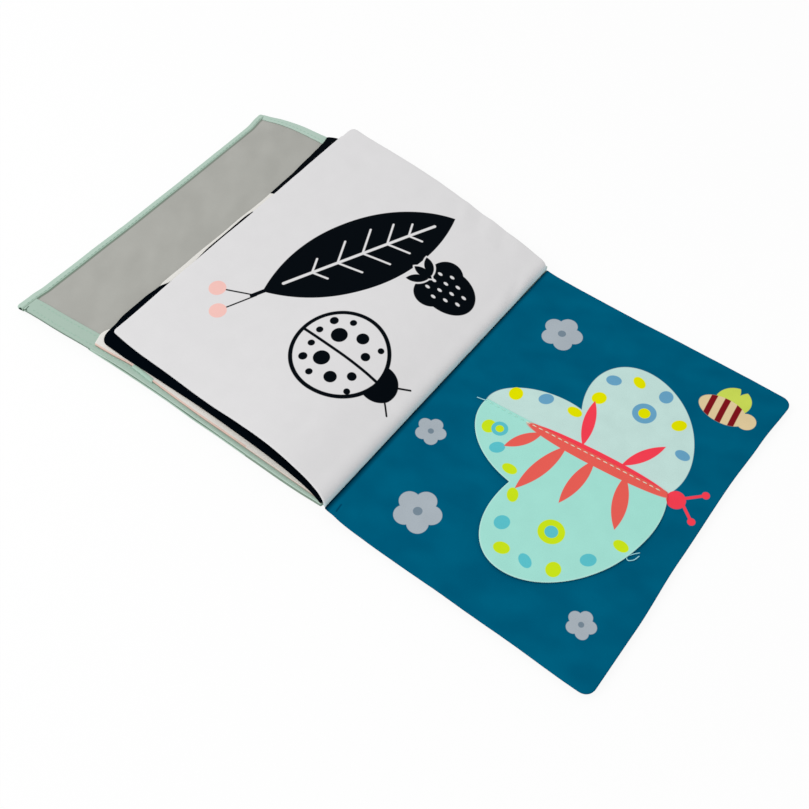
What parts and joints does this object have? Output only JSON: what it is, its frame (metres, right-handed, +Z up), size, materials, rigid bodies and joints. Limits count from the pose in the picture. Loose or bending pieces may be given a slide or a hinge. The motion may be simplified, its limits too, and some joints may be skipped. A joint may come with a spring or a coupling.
{
  "type": "tummy time book",
  "caption": "Soft cloth baby book lying open: padded leaves on a wide cover with a film mirror, a lift-up cloth flap on the right page, covers hinged at the spine.",
  "frame": {"origin": "on the table, under the middle of the open book's bounding box", "axes": "+X across the book from the left side to the right page, +Y along the spine to its far end, +Z up"},
  "size_m": [0.461, 0.2697, 0.0171],
  "materials": {
    "mint_cloth": "matte plain weave",
    "white_cloth": "matte plain weave, printed",
    "blue_cloth": "matte plain weave, printed",
    "flap_cloth": "matte plain weave, printed",
    "mirror_film": "satin grey film",
    "board": "plain"
  },
  "bodies": {
    "right_side": {"right_page": "blue_cloth", "page_flap": "flap_cloth", "spine_binding": "mint_cloth"},
    "left_side": {"back_cover": "mint_cloth", "back_cover_board": "board", "base_board": "board", "mirror_sheet": "mirror_film", "cover_border": "mint_cloth", "left_pages": "white_cloth"},
    "front_cover_side": {"front_cover": "mint_cloth", "front_cover_board": "board"}
  },
  "joints": [
    {"name": "back_cover_hinge", "type": "hinge", "parent": "right_side", "child": "left_side", "pos_m": [0.0395, -0.00974, 0.0104], "axis": [0, 1, 0], "range_deg": [0, 180]},
    {"name": "front_cover_hinge", "type": "hinge", "parent": "right_side", "child": "front_cover_side", "pos_m": [0.0395, -0.00974, -0.0002], "axis": [0, -1, 0], "range_deg": [0, 180]}
  ]
}
